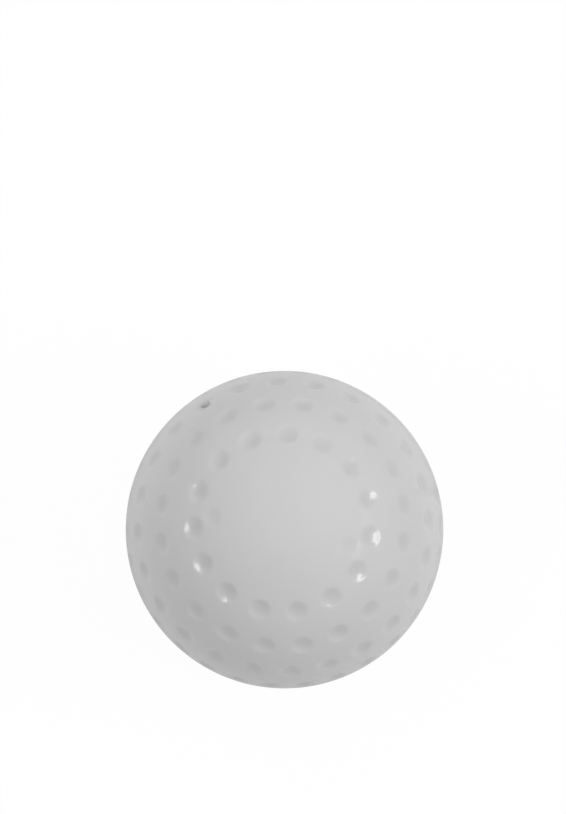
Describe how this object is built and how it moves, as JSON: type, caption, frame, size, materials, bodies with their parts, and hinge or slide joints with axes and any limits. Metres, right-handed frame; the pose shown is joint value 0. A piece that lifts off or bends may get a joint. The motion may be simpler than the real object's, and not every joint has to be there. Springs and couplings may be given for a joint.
{
  "type": "field hockey ball",
  "caption": "Dimpled field hockey ball: moulded PVC half covers joined at a seam over a cork and wound-yarn core, with a smooth printing panel at each pole.",
  "frame": {"origin": "centre of the ball", "axes": "+Z runs through the middle of the upper printing panel, and the seam between the half covers lies in the XY plane; +X is where the angles round the dimple rows start"},
  "size_m": [0.073, 0.073, 0.073],
  "materials": {
    "cover": "semi-gloss moulded PVC, matt on the printing panels",
    "yarn": "undyed wound yarn",
    "cork": "bare cork"
  },
  "bodies": {
    "root": {"upper_cover": "cover", "lower_cover": "cover", "outer_winding": "yarn", "upper_cork_cup": "cork", "lower_cork_cup": "cork", "inner_winding": "yarn", "cork_centre": "cork"}
  },
  "joints": []
}
